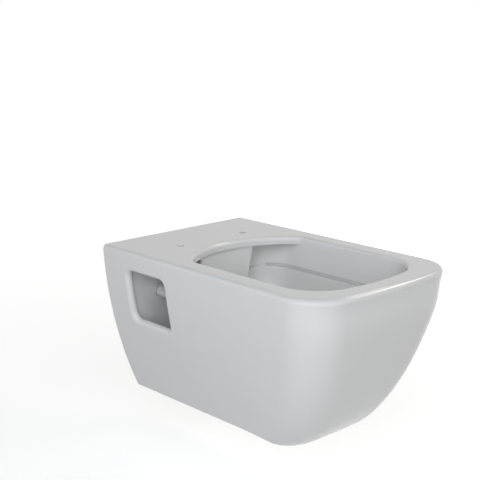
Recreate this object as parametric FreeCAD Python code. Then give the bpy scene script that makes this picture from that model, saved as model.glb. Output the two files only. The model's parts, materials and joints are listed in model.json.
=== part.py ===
import FreeCAD, Part
import math
import os

V = FreeCAD.Vector

# Wall hung toilet pan. Millimetres. The wall is the plane Y = 0, the pan reaches out
# towards -Y, Z is up. The origin lies midway between the two wall studs.

# Overall body
pan_width = 350.0
pan_length = 542.0
rim_height = 90.0          # deck above the stud axis
skirt_depth = 291.0        # deck down to the lower edge at the wall
floor_flat = 265.0         # length of the level part of the underside, from the wall
floor_bow = 1100.0         # radius with which the underside then sags
side_taper = 3.0           # degrees, lean of the side walls just below the deck
side_bow = 752.0           # radius of the bow of the side walls
front_corner_top = 71.0
front_corner_bottom = 45.0
front_corner_power = 8.0   # how late the corner tightens on the way down
front_bow = 1400.0         # radius of the front in plan
front_heel = 323.0         # reach at which the front curve would level out
front_curve_below = 18.0   # below the lower edge, where the front curve would level out
front_lean_power = 1.24
front_round_power = 2.9
deck_edge_round = 8.0
floor_edge_round = 4.0

# Ceramic
shell_wall = 12.0
deck_thickness = 15.0
bowl_wall = 9.0

# Rim opening and flush chamber
rim_side = 42.0
rim_front = 44.0
opening_corner = 74.0
opening_bow = 380.0
lip_setback = 141.0        # wall to the middle of the rear lip
lip_radius = 172.0
lip_end_round = 14.0
rim_edge_round = 7.0
chamber_setback = 114.0    # wall to the back of the flush chamber
chamber_corner = 60.0
chamber_bow = 500.0
ledge_depth = 65.0
ledge_width = 9.0
ledge_round = 1.5
groove_height = 4.5        # undercut above the ledge, which guides the flush water
groove_depth = 3.5
groove_round = 1.5
groove_stop = 8.0          # how far the undercut runs on behind the lip

# Basin and sump
sump_half_width = 38.0
sump_rear = 283.0
sump_front = 390.0
sump_round = 14.0
basin_sections = 7

# Flush deflector
deflector_width_top = 130.0
deflector_width_low = 88.0
deflector_drop = 130.0
deflector_thickness = 7.0
deflector_inset = 5.0      # behind the rear lip
deflector_round = 3.0

# Side windows
window_near_wall = 64.8
window_length = 102.0
window_top = 37.5
window_height = 93.0
window_corner = 13.0
window_round = 8.5

# Seat holes
seat_hole_spacing = 155.0
seat_hole_diameter = 14.0
seat_hole_setback = 104.0
seat_hole_round = 1.0

# Rear web and its stud bosses
web_setback = 44.0         # wall to the back of the web
web_thickness = 14.0
web_foot = 29.0            # lower edge of the web above the lower edge of the skirt
boss_diameter = 46.0
boss_fillet = 6.0

# Wall fixing
stud_spacing = 180.0
stud_diameter = 12.0
stud_in_wall = 50.0
stud_end = 8.7             # thread that shows beyond the nut
stud_chamfer = 1.0
sleeve_diameter = 22.0
sleeve_flange_diameter = 26.0
sleeve_flange = 4.0
washer_diameter = 24.0
washer_bore = 13.0
washer_thickness = 2.5
nut_across_flats = 18.0
nut_height = 10.8
nut_chamfer = 1.2
thread_clearance = 0.05
cap_diameter = 25.0
cap_clearance = 0.3        # round the corners of the nut
cap_space = 2.0            # beyond the end of the stud
cap_end = 3.0
cap_round = 4.0

# Flush inlet
inlet_rise = 35.0          # above the studs
inlet_bore = 55.0
inlet_socket = 45.0
inlet_outer = 66.0
inlet_throat = 32.0
seal_bore = 45.0
seal_setback = 2.0
seal_length = 30.0
seal_lip = 2.0

# Trap and outlet
outlet_drop = 100.0        # below the studs
outlet_diameter = 102.0
outlet_wall = 9.0
outlet_length = 78.0
outlet_end_wall = 10.0
outlet_shoulder = 5.0      # step that stops a pipe socket at the web
trap_bore = 44.0
trap_wall = 8.0
trap_start = 290.0
trap_low_bend = 198.0
trap_crest = 122.0
trap_crest_depth = 156.0
trap_bend_radius = 38.0

# Sizes that follow from these
front_curve_depth = skirt_depth + front_curve_below
sump_depth = skirt_depth - shell_wall - bowl_wall
web_depth = skirt_depth - web_foot
web_front = -web_setback - web_thickness
flange_y = web_front - sleeve_flange
washer_y = flange_y - washer_thickness
nut_y = washer_y - nut_height
stud_y = nut_y - stud_end


def level(depth):
    """Height of a point that lies this far below the deck."""
    return rim_height - depth


def half_width(depth):
    """Half the width of the outer body at a depth."""
    lean = depth * math.tan(math.radians(side_taper))
    bow = side_bow - math.sqrt(side_bow ** 2 - depth ** 2)
    return pan_width / 2 - lean - bow


def front_reach(depth):
    """Distance from the wall to the front of the outer body at a depth."""
    fall = (depth / front_curve_depth) ** front_lean_power
    return front_heel + (pan_length - front_heel) * (1 - fall) ** (1 / front_round_power)


def rounded_end(half, apex, corner, bow, out, height):
    """Corner, bow and corner of one end, from -X to +X, and the Y where the sides begin.

    The apex is the end's Y on the middle plane, and out is the way it faces, -1 or 1.
    """
    bow_y = apex - out * bow
    across = half - corner
    corner_y = bow_y + out * math.sqrt((bow - corner) ** 2 - across ** 2)
    turn = math.atan2(across, abs(corner_y - bow_y))
    middle = (math.pi / 2 + turn) / 2
    middle_x = across + corner * math.sin(middle)
    middle_y = corner_y + out * corner * math.cos(middle)
    end_x = bow * math.sin(turn)
    end_y = bow_y + out * bow * math.cos(turn)
    left = Part.Arc(V(-half, corner_y, height), V(-middle_x, middle_y, height), V(-end_x, end_y, height))
    nose = Part.Arc(V(-end_x, end_y, height), V(0, apex, height), V(end_x, end_y, height))
    right = Part.Arc(V(end_x, end_y, height), V(middle_x, middle_y, height), V(half, corner_y, height))
    return [left.toShape(), nose.toShape(), right.toShape()], corner_y


def body_outline(half, back, front, height):
    """Outline with a square back at a given Y. The front is (reach, corner, bow)."""
    reach, corner, bow = front
    edges, front_y = rounded_end(half, -reach, corner, bow, -1, height)
    left = Part.makeLine(V(-half, back, height), V(-half, front_y, height))
    right = Part.makeLine(V(half, front_y, height), V(half, back, height))
    rear = Part.makeLine(V(half, back, height), V(-half, back, height))
    return Part.Wire([left] + edges + [right, rear])


def oval_outline(half, rear, front, height, grow=0.0):
    """Outline with two rounded ends, each (distance from the wall, corner, bow).

    With grow the outline is moved outwards all round by that much.
    """
    half = half + grow
    edges, front_y = rounded_end(half, -front[0] - grow, front[1] + grow, front[2] + grow, -1, height)
    back, rear_y = rounded_end(half, -rear[0] + grow, rear[1] + grow, rear[2] + grow, 1, height)
    left = Part.makeLine(V(-half, rear_y, height), V(-half, front_y, height))
    right = Part.makeLine(V(half, front_y, height), V(half, rear_y, height))
    return Part.Wire(Part.sortEdges([left] + edges + [right] + back)[0])


def prism(wire, drop):
    return Part.Face(wire).extrude(V(0, 0, -drop))


def tube_y(radius, start, end, x=0.0, height=0.0):
    """Cylinder along Y between two values of Y."""
    return Part.makeCylinder(radius, end - start, V(x, start, height), V(0, 1, 0))


def block(x0, x1, y0, y1, z0, z1):
    return Part.makeBox(x1 - x0, y1 - y0, z1 - z0, V(x0, y0, z0))


def pick(shape, test):
    """Edges that pass the test on their middle point."""
    found = []
    for edge in shape.Edges:
        middle = edge.valueAt((edge.FirstParameter + edge.LastParameter) / 2)
        if test(edge, middle):
            found.append(edge)
    return found


def flat_at(edge, height):
    box = edge.BoundBox
    return abs(box.ZMin - height) < 0.01 and abs(box.ZMax - height) < 0.01


def below_floor(inset):
    """Everything under the underside, which is level at the wall and sags towards the front."""
    far = 2 * pan_length
    height = level(skirt_depth - inset)
    start = V(-pan_width, -floor_flat, height)
    centre = start - V(0, 0, floor_bow)
    arc = []
    for angle in (0.0, 0.15, 0.3):
        arc.append(centre + V(0, -floor_bow * math.sin(angle), floor_bow * math.cos(angle)))
    edges = [
        Part.makeLine(V(-pan_width, far, height), start),
        Part.Arc(arc[0], arc[1], arc[2]).toShape(),
        Part.makeLine(arc[2], V(-pan_width, arc[2].y, height - far)),
        Part.makeLine(V(-pan_width, arc[2].y, height - far), V(-pan_width, far, height - far)),
        Part.makeLine(V(-pan_width, far, height - far), V(-pan_width, far, height)),
    ]
    return Part.Face(Part.Wire(edges)).extrude(V(2 * pan_width, 0, 0))


def body(inset, top):
    """Outer body, or with an inset the hollow inside it, below the given depth.

    Both run on behind the wall plane.
    """
    steps = 9
    lowest = 0.997 * front_curve_depth
    sections = []
    for i in range(steps + 1):
        share = math.sin(math.pi / 2 * i / steps)
        outer = share * lowest
        depth = top + share * (lowest - inset - top)
        tighten = share ** front_corner_power
        corner = front_corner_top + tighten * (front_corner_bottom - front_corner_top)
        front = (front_reach(outer) - inset, corner - inset, front_bow - inset)
        sections.append(body_outline(half_width(outer) - inset, shell_wall, front, level(depth)))
    return Part.makeLoft(sections, True, False).cut(below_floor(inset))


def rounded_window():
    """Bar across the pan with the outline of the side windows."""
    y0 = -window_near_wall - window_length
    z0 = level(window_top + window_height)
    bar = block(-pan_width, pan_width, y0, y0 + window_length, z0, z0 + window_height)
    edges = pick(bar, lambda e, m: abs(m.x) < 1)
    return bar.makeFillet(window_corner, edges)


opening_half = pan_width / 2 - rim_side
opening_front = (pan_length - rim_front, opening_corner, opening_bow)
opening_rear = (lip_setback, lip_end_round, lip_radius)
chamber_rear = (chamber_setback, chamber_corner, chamber_bow)


def make_shell(hollow):
    shell = body(0.0, 0.0)
    behind = block(-pan_width, pan_width, 0.0, pan_width, level(2 * skirt_depth), level(-skirt_depth))
    shell = shell.cut(behind)
    edges = pick(shell, lambda e, m: flat_at(e, rim_height) and m.y < -1)
    shell = shell.makeFillet(deck_edge_round, edges)
    floor = level(skirt_depth) + 0.01
    edges = pick(shell, lambda e, m: e.BoundBox.ZMax < floor and m.y < -1
                 and (abs(m.x) > 1 or m.y < -front_heel))
    shell = shell.makeFillet(floor_edge_round, edges)
    shell = shell.cut(hollow)
    opening = oval_outline(opening_half, opening_rear, opening_front, rim_height)
    shell = shell.cut(prism(opening, deck_thickness))
    inside = chamber_setback
    edges = pick(shell, lambda e, m: flat_at(e, rim_height) and abs(m.x) < opening_half + 1
                 and -pan_length + rim_front / 2 < m.y < -inside)
    shell = shell.makeFillet(rim_edge_round, edges)
    shell = shell.cut(rounded_window())
    y0 = -window_near_wall - window_length
    z0 = level(window_top + window_height)
    frame = FreeCAD.BoundBox(-pan_width, y0 - 0.1, z0 - 0.1, pan_width, y0 + window_length + 0.1,
                             z0 + window_height + 0.1)
    edges = pick(shell, lambda e, m: frame.isInside(e.BoundBox) and abs(m.x) > half_width(level(m.z)) - 1)
    shell = shell.makeFillet(window_round, edges)
    for side in (-1, 1):
        hole = Part.makeCylinder(seat_hole_diameter / 2, deck_thickness,
                                 V(side * seat_hole_spacing / 2, -seat_hole_setback, level(deck_thickness)))
        shell = shell.cut(hole)
    ring = seat_hole_setback - seat_hole_diameter
    edges = pick(shell, lambda e, m: flat_at(e, rim_height) and -inside < m.y < -ring)
    return shell.makeFillet(seat_hole_round, edges)


def basin(grow):
    """Basin from the ledge to the floor of the sump, or its outside with grow."""
    sections = []
    bottom = sump_depth + grow
    top_half = opening_half - ledge_width
    top_rear = chamber_setback + ledge_width
    top_front = opening_front[0] - ledge_width
    for i in range(basin_sections + 1):
        share = i / basin_sections
        depth = ledge_depth + share * (bottom - ledge_depth)
        half = top_half - (top_half - sump_half_width) * share ** 1.8
        back = top_rear + (sump_rear - top_rear) * share ** 1.7
        reach = top_front - (top_front - sump_front) * share ** 2.2
        rear_corner = min(chamber_corner - ledge_width, 0.75 * half)
        corner = min(opening_corner - ledge_width, 0.75 * half)
        rear = (back, rear_corner, chamber_bow - ledge_width)
        front = (reach, corner, opening_bow - ledge_width)
        sections.append(oval_outline(half, rear, front, level(depth), grow))
    solid = Part.makeLoft(sections, True, False)
    edges = pick(solid, lambda e, m: flat_at(e, level(bottom)))
    return solid.makeFillet(sump_round + grow, edges)


def bent_path(points, radius):
    """Line through points in the middle plane, given as (Y, Z), with rounded corners."""
    nodes = [V(0, y, z) for y, z in points]
    edges = []
    start = nodes[0]
    for before, corner, after in zip(nodes, nodes[1:], nodes[2:]):
        back = (before - corner).normalize()
        on = (after - corner).normalize()
        half_angle = back.getAngle(on) / 2
        reach = radius / math.tan(half_angle)
        inner = corner + (back + on).normalize() * (radius / math.sin(half_angle))
        first = corner + back * reach
        last = corner + on * reach
        middle = inner + (corner - inner).normalize() * radius
        edges.append(Part.makeLine(start, first))
        edges.append(Part.Arc(first, middle, last).toShape())
        start = last
    edges.append(Part.makeLine(start, nodes[-1]))
    return Part.Wire(edges)


def trap_sweep(radius):
    outlet_z = -outlet_drop
    sump_z = level(sump_depth - trap_bore / 2)
    points = [(-trap_start, sump_z), (-trap_low_bend, sump_z), (-trap_crest, level(trap_crest_depth)),
              (-outlet_length + outlet_end_wall + outlet_wall, outlet_z)]
    path = bent_path(points, trap_bend_radius)
    ring = Part.Wire(Part.makeCircle(radius, V(0, -trap_start, sump_z), V(0, 1, 0)))
    return path.makePipeShell([ring], True, True)


def make_deflector(cavity):
    """Curved shield, concentric with the rear lip, that stands on the back of the basin."""
    centre = V(0, -lip_setback - lip_radius, level(deck_thickness + deflector_drop))
    inner = lip_radius + deflector_inset
    plate = Part.makeCylinder(inner + deflector_thickness, deflector_drop, centre)
    plate = plate.cut(Part.makeCylinder(inner, deflector_drop, centre))
    top = level(deck_thickness)
    low = top - deflector_drop
    wide = deflector_width_top / 2
    slim = deflector_width_low / 2
    points = [V(-wide, 0, top), V(wide, 0, top), V(slim, 0, low), V(-slim, 0, low)]
    sides = Part.Face(Part.makePolygon(points + points[:1])).extrude(V(0, -lip_setback - lip_radius, 0))
    plate = plate.common(sides)
    edges = pick(plate, lambda e, m: e.BoundBox.ZLength > deflector_drop - 1 and abs(m.x) > slim)
    plate = plate.makeFillet(deflector_round, edges)
    return plate.common(cavity)


def make_web(hollow):
    """Wall across the back of the pan, with a boss for each stud and round holes for the pipes."""
    web = block(-pan_width, pan_width, web_front, -web_setback, level(web_depth), level(deck_thickness))
    web = web.common(hollow)
    for x in stud_x.values():
        web = web.fuse(tube_y(boss_diameter / 2, -web_setback, 0.0, x))
    edges = pick(web, lambda e, m: e.Closed and e.BoundBox.YLength < 0.01
                 and abs(m.y + web_setback) < 0.01)
    web = web.makeFillet(boss_fillet, edges)
    for x in stud_x.values():
        web = web.cut(tube_y(sleeve_diameter / 2, web_front, 0.0, x))
    web = web.cut(tube_y(inlet_outer / 2, web_front, -web_setback, 0.0, inlet_rise))
    outlet = outlet_diameter / 2 + outlet_shoulder
    return web.cut(tube_y(outlet, web_front, -web_setback, 0.0, -outlet_drop))


def make_stud(x):
    """Threaded bar in two lengths that meet at the wall."""
    in_wall = tube_y(stud_diameter / 2, 0.0, stud_in_wall, x)
    edges = pick(in_wall, lambda e, m: e.Closed and m.y > stud_chamfer)
    in_wall = in_wall.makeChamfer(stud_chamfer, edges)
    in_pan = tube_y(stud_diameter / 2, stud_y, 0.0, x)
    edges = pick(in_pan, lambda e, m: e.Closed and m.y < -stud_chamfer)
    in_pan = in_pan.makeChamfer(stud_chamfer, edges)
    return in_wall.fuse(in_pan)


def make_sleeve(x):
    """Lining of the boss, with a flange under the washer."""
    sleeve = tube_y(sleeve_diameter / 2, web_front, 0.0, x)
    sleeve = sleeve.fuse(tube_y(sleeve_flange_diameter / 2, flange_y, web_front, x))
    return sleeve.cut(tube_y(stud_diameter / 2, flange_y, 0.0, x))


def make_washer(x):
    washer = tube_y(washer_diameter / 2, washer_y, flange_y, x)
    return washer.cut(tube_y(washer_bore / 2, washer_y, flange_y, x))


def nut_corner():
    return nut_across_flats / 2 / math.cos(math.pi / 6)


def make_nut(x):
    corner = nut_corner()
    points = []
    for k in range(6):
        angle = k * math.pi / 3
        points.append(V(x + corner * math.cos(angle), washer_y, corner * math.sin(angle)))
    hexagon = Part.Face(Part.makePolygon(points + points[:1])).extrude(V(0, -nut_height, 0))
    round_bar = tube_y(corner, nut_y, washer_y, x)
    round_bar = round_bar.makeChamfer(nut_chamfer, pick(round_bar, lambda e, m: e.Closed))
    bore = tube_y(stud_diameter / 2 + thread_clearance, nut_y, washer_y, x)
    return hexagon.common(round_bar).cut(bore)


def make_cap(x):
    """Cover over a nut and the end of its stud, seated on the washer."""
    inner_end = stud_y - cap_space
    tip = inner_end - cap_end
    cap = tube_y(cap_diameter / 2, tip, washer_y, x)
    cap = cap.makeFillet(cap_round, pick(cap, lambda e, m: e.Closed and m.y < inner_end))
    return cap.cut(tube_y(nut_corner() + cap_clearance, inner_end, washer_y, x))


def make_seal():
    """Ring in the socket of the flush duct, with a lead-in for the flush pipe."""
    start = -seal_setback - seal_length
    seal = tube_y(inlet_bore / 2, start, -seal_setback, 0.0, inlet_rise)
    seal = seal.cut(tube_y(seal_bore / 2, start, -seal_setback, 0.0, inlet_rise))
    middle_radius = (inlet_bore + seal_bore) / 4
    mouth = start + seal_length / 2
    edges = pick(seal, lambda e, m: e.Closed and m.y > mouth and e.Curve.Radius < middle_radius)
    return seal.makeChamfer(seal_lip, edges)


stud_x = {"left": -stud_spacing / 2, "right": stud_spacing / 2}

hollow = body(shell_wall, deck_thickness)
outer_shell = make_shell(hollow)

top = level(deck_thickness)
ledge = level(ledge_depth)
groove_top = ledge + groove_height
upper_cavity = prism(oval_outline(opening_half, chamber_rear, opening_front, top),
                     ledge_depth - deck_thickness)
groove = prism(oval_outline(opening_half, chamber_rear, opening_front, groove_top, groove_depth),
               groove_height)
groove = groove.cut(block(-pan_width, pan_width, groove_stop - lip_setback, 0.0, ledge, groove_top))
cavity = upper_cavity.fuse(groove).fuse(basin(0.0))
edges = pick(cavity, lambda e, m: flat_at(e, ledge))
cavity = cavity.makeFillet(ledge_round, edges)
edges = pick(cavity, lambda e, m: flat_at(e, groove_top))
cavity = cavity.makeFillet(groove_round, edges)
upper_outside = prism(oval_outline(opening_half, chamber_rear, opening_front, top, bowl_wall),
                      ledge_depth + bowl_wall - deck_thickness)
outside = upper_outside.fuse(basin(bowl_wall))
trap_inside = trap_sweep(trap_bore / 2)
throat = tube_y(inlet_throat / 2, -lip_setback, 0.0, 0.0, inlet_rise)
bowl = outside.cut(cavity).cut(trap_inside).cut(throat)

flush_duct = tube_y(inlet_outer / 2, -lip_setback, 0.0, 0.0, inlet_rise).cut(outside)
flush_duct = flush_duct.cut(throat).cut(tube_y(inlet_bore / 2, -inlet_socket, 0.0, 0.0, inlet_rise))

outlet_radius = outlet_diameter / 2
outlet_z = -outlet_drop
spigot = tube_y(outlet_radius, -outlet_length, 0.0, 0.0, outlet_z)
spigot = spigot.fuse(tube_y(outlet_radius + outlet_shoulder, -outlet_length, -web_setback, 0.0, outlet_z))
spigot_inside = tube_y(outlet_radius - outlet_wall, -outlet_length + outlet_end_wall, 0.0, 0.0, outlet_z)
trapway = trap_sweep(trap_bore / 2 + trap_wall).fuse(spigot)
trapway = trapway.cut(spigot_inside).cut(trap_inside).cut(outside)

nodes = {
    "outer_shell": outer_shell,
    "bowl": bowl,
    "flush_deflector": make_deflector(cavity),
    "flush_duct": flush_duct,
    "trapway": trapway,
    "rear_web": make_web(hollow),
    "inlet_seal": make_seal(),
    "wall_studs": Part.makeCompound([make_stud(x) for x in stud_x.values()]),
    "stud_sleeves": Part.makeCompound([make_sleeve(x) for x in stud_x.values()]),
}
for side, x in stud_x.items():
    nodes[side + "_washer"] = make_washer(x)
    nodes[side + "_nut"] = make_nut(x)
    nodes[side + "_stud_cap"] = make_cap(x)

os.makedirs("parts", exist_ok=True)
for name, shape in nodes.items():
    shape.exportStep("parts/" + name + ".step")
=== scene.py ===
import json
import math
import bpy
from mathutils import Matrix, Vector

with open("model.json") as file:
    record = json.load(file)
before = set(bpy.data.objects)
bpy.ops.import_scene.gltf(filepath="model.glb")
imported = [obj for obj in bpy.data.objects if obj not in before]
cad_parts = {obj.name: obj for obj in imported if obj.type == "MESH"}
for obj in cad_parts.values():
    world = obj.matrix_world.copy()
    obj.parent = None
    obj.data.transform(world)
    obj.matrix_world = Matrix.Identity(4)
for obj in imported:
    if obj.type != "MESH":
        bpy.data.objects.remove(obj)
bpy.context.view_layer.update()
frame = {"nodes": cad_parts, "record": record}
nodes = frame["nodes"]
scene = bpy.context.scene
scene.view_settings.view_transform = "Standard"

# Range that most of a noise texture's values fall in
noise_low = 0.3
noise_high = 0.7

# Glaze, with painted shade: darker in narrow grooves and corners
glaze_cool = (0.797, 0.802, 0.803)
glaze_warm = (0.812, 0.812, 0.809)
painted_groove_shade_colour = (0.42, 0.43, 0.435)
painted_shade_reach = 0.006
glaze_ior = 1.52

# Camera, fitted to the straight edges of the pan
camera_place = (-1.2565, -1.5207, 0.5362)
camera_down = 13.33
camera_turn = -43.12
camera_lens = 78.32

# Studio, with the floor at the usual distance below a hung pan
floor_z = -0.32
floor_size = 40
floor_grey = 0.65
glow_near = 0.65
glow_far = 0.92
glow_near_reach = 0.4
glow_far_reach = 2.4
horizon_light = 0.33
zenith_light = 0.0
zenith_start = 0.8
middle = Vector((0, -0.27, -0.05))
softbox_distance = 2.6
strip_distance = 2.4
cool = (0.97, 1.0, 1.03)
warm = (1.0, 0.98, 0.9)


def new_material(name):
    material = bpy.data.materials.new(name)
    material.use_nodes = True
    tree = material.node_tree
    shader = tree.nodes["Principled BSDF"]
    return material, tree, shader


def noise(tree, scale, detail):
    """Noise on object coordinates."""
    coords = tree.nodes.new("ShaderNodeTexCoord")
    node = tree.nodes.new("ShaderNodeTexNoise")
    node.inputs["Scale"].default_value = scale
    node.inputs["Detail"].default_value = detail
    tree.links.new(coords.outputs["Object"], node.inputs["Vector"])
    return node.outputs["Fac"]


def map_range(tree, source, from_low, from_high, to_low, to_high):
    node = tree.nodes.new("ShaderNodeMapRange")
    node.inputs["From Min"].default_value = from_low
    node.inputs["From Max"].default_value = from_high
    node.inputs["To Min"].default_value = to_low
    node.inputs["To Max"].default_value = to_high
    tree.links.new(source, node.inputs["Value"])
    return node.outputs["Result"]


def spread(tree, source, low, high):
    """Maps the usual values of a noise to the range low to high."""
    return map_range(tree, source, noise_low, noise_high, low, high)


def tint(tree, source, low, high):
    """Mixes two colours by a noise."""
    ramp = tree.nodes.new("ShaderNodeValToRGB")
    ramp.color_ramp.elements[0].position = noise_low
    ramp.color_ramp.elements[0].color = (*low, 1)
    ramp.color_ramp.elements[1].position = noise_high
    ramp.color_ramp.elements[1].color = (*high, 1)
    tree.links.new(source, ramp.inputs["Fac"])
    return ramp.outputs["Color"]


def bump(tree, source, distance, strength):
    node = tree.nodes.new("ShaderNodeBump")
    node.inputs["Distance"].default_value = distance
    node.inputs["Strength"].default_value = strength
    tree.links.new(source, node.inputs["Height"])
    return node.outputs["Normal"]


def glaze_material():
    material, tree, shader = new_material("white_glaze")
    wide = noise(tree, 9.0, 2.0)
    fine = noise(tree, 140.0, 3.0)
    # Painted shade: ambient occlusion mixes the glaze colour towards grey in narrow grooves and corners
    painted_shade_mask = tree.nodes.new("ShaderNodeAmbientOcclusion")
    painted_shade_mask.inputs["Distance"].default_value = painted_shade_reach
    colour = tree.nodes.new("ShaderNodeMix")
    colour.data_type = "RGBA"
    colour.inputs["A"].default_value = (*painted_groove_shade_colour, 1)
    tree.links.new(spread(tree, painted_shade_mask.outputs["AO"], 0.0, 1.0), colour.inputs["Factor"])
    tree.links.new(tint(tree, wide, glaze_cool, glaze_warm), colour.inputs["B"])
    tree.links.new(colour.outputs["Result"], shader.inputs["Base Color"])
    tree.links.new(spread(tree, fine, 0.07, 0.13), shader.inputs["Roughness"])
    tree.links.new(bump(tree, wide, 0.0006, 0.12), shader.inputs["Normal"])
    shader.inputs["IOR"].default_value = glaze_ior
    return material


def zinc_material():
    material, tree, shader = new_material("zinc_plate")
    fine = noise(tree, 420.0, 4.0)
    tree.links.new(tint(tree, fine, (0.50, 0.51, 0.52), (0.62, 0.63, 0.64)), shader.inputs["Base Color"])
    tree.links.new(spread(tree, fine, 0.28, 0.46), shader.inputs["Roughness"])
    shader.inputs["Metallic"].default_value = 1.0
    return material


def plastic_material(name, low, high, rough):
    material, tree, shader = new_material(name)
    fine = noise(tree, 260.0, 3.0)
    tree.links.new(tint(tree, fine, low, high), shader.inputs["Base Color"])
    tree.links.new(spread(tree, fine, rough - 0.05, rough + 0.07), shader.inputs["Roughness"])
    tree.links.new(bump(tree, fine, 0.0002, 0.1), shader.inputs["Normal"])
    return material


finish = {
    "ceramic": glaze_material(),
    "zinc_steel": zinc_material(),
    "cap_plastic": plastic_material("cap_plastic", (0.72, 0.72, 0.71), (0.76, 0.76, 0.75), 0.3),
    "sleeve_plastic": plastic_material("sleeve_plastic", (0.60, 0.60, 0.58), (0.66, 0.66, 0.64), 0.5),
    "seal_rubber": plastic_material("seal_rubber", (0.018, 0.018, 0.018), (0.032, 0.032, 0.032), 0.65),
}


def coat(obj, slot):
    obj.data.materials.clear()
    obj.data.materials.append(finish[slot])


slots = {s["node"]: s["material_slot"] for s in frame["record"]["subparts"]}
for name, obj in nodes.items():
    coat(obj, slots[name])


def make_camera():
    data = bpy.data.cameras.new("camera")
    data.lens = camera_lens
    data.sensor_width = 36.0
    camera = bpy.data.objects.new("camera", data)
    scene.collection.objects.link(camera)
    camera.location = camera_place
    camera.rotation_euler = (math.radians(90 - camera_down), 0, math.radians(camera_turn))
    scene.camera = camera


def larger(tree, first, second):
    node = tree.nodes.new("ShaderNodeMath")
    node.operation = "MAXIMUM"
    tree.links.new(first, node.inputs[0])
    tree.links.new(second, node.inputs[1])
    return node.outputs["Value"]


def seen_directly(tree):
    """1 on rays that show the background: from the camera, by reflection or through glass."""
    path = tree.nodes.new("ShaderNodeLightPath")
    seen = larger(tree, path.outputs["Is Camera Ray"], path.outputs["Is Glossy Ray"])
    return larger(tree, seen, path.outputs["Is Transmission Ray"])


def make_floor():
    """Pale floor. It glows more away from the pan, where the lamps reach less, so that the
    background is white all over and the shadow stays."""
    bpy.ops.mesh.primitive_plane_add(size=floor_size, location=(0, 0, floor_z))
    floor = bpy.context.object
    floor.name = "floor"
    material, tree, shader = new_material("pale_floor")
    shader.inputs["Base Color"].default_value = (floor_grey, floor_grey, floor_grey, 1)
    shader.inputs["Roughness"].default_value = 0.9
    shader.inputs["Emission Color"].default_value = (1, 1, 1, 1)
    coords = tree.nodes.new("ShaderNodeTexCoord")
    reach = tree.nodes.new("ShaderNodeVectorMath")
    reach.operation = "LENGTH"
    tree.links.new(coords.outputs["Object"], reach.inputs[0])
    glow = map_range(tree, reach.outputs["Value"], glow_near_reach, glow_far_reach, glow_near, glow_far)
    shown = tree.nodes.new("ShaderNodeMath")
    shown.operation = "MULTIPLY"
    tree.links.new(glow, shown.inputs[0])
    tree.links.new(seen_directly(tree), shown.inputs[1])
    tree.links.new(shown.outputs["Value"], shader.inputs["Emission Strength"])
    floor.data.materials.append(material)


def make_world():
    """White where it is seen. As a light it is brighter at the horizon than overhead."""
    world = bpy.data.worlds.new("studio")
    scene.world = world
    world.use_nodes = True
    tree = world.node_tree
    background = tree.nodes["Background"]
    background.inputs["Color"].default_value = (1, 1, 1, 1)
    coords = tree.nodes.new("ShaderNodeTexCoord")
    split = tree.nodes.new("ShaderNodeSeparateXYZ")
    tree.links.new(coords.outputs["Generated"], split.inputs["Vector"])
    sky = map_range(tree, split.outputs["Z"], 0.0, zenith_start, horizon_light, zenith_light)
    level = tree.nodes.new("ShaderNodeMix")
    level.inputs["B"].default_value = 1.0
    tree.links.new(seen_directly(tree), level.inputs["Factor"])
    tree.links.new(sky, level.inputs["A"])
    tree.links.new(level.outputs["Result"], background.inputs["Strength"])


def area_light(name, azimuth, elevation, distance, size, power, color=(1, 1, 1)):
    """Lamp that faces the middle of the pan. Azimuth 0 is the front, -90 the left. Size is the
    width and the height."""
    data = bpy.data.lights.new(name, "AREA")
    data.energy = power
    data.color = color
    data.shape = "RECTANGLE"
    data.size, data.size_y = size
    lamp = bpy.data.objects.new(name, data)
    scene.collection.objects.link(lamp)
    a = math.radians(azimuth)
    e = math.radians(elevation)
    out = Vector((math.sin(a) * math.cos(e), -math.cos(a) * math.cos(e), math.sin(e)))
    lamp.location = middle + distance * out
    lamp.rotation_euler = (-out).to_track_quat("-Z", "Y").to_euler()
    return lamp


def softbox(name, azimuth, elevation, width, power, color=(1, 1, 1)):
    return area_light(name, azimuth, elevation, softbox_distance, (width, width), power, color)


def strip(name, azimuth, elevation, size, power):
    return area_light(name, azimuth, elevation, strip_distance, size, power, warm)


def make_lamps():
    # Two softboxes fill without a mirror image, which would bleach the deck and the right edge
    fill = [softbox("camera_soft", -48, 33, 2.2, 24.0, cool),
            softbox("right_soft", 98, 6, 1.6, 14.0)]
    for lamp in fill:
        lamp.visible_glossy = False
    softbox("left_soft", -66, 22, 1.8, 14.5, cool)
    softbox("front_soft", -28, 22, 1.8, 6.5)
    softbox("rear_left_soft", -125, 20, 1.8, 2.5, cool)
    strip("edge_strip", 62, 38, (0.9, 0.45), 10.5)
    strip("lip_strip", 104, 45, (0.4, 0.5), 3.5)


make_camera()
make_floor()
make_world()
make_lamps()
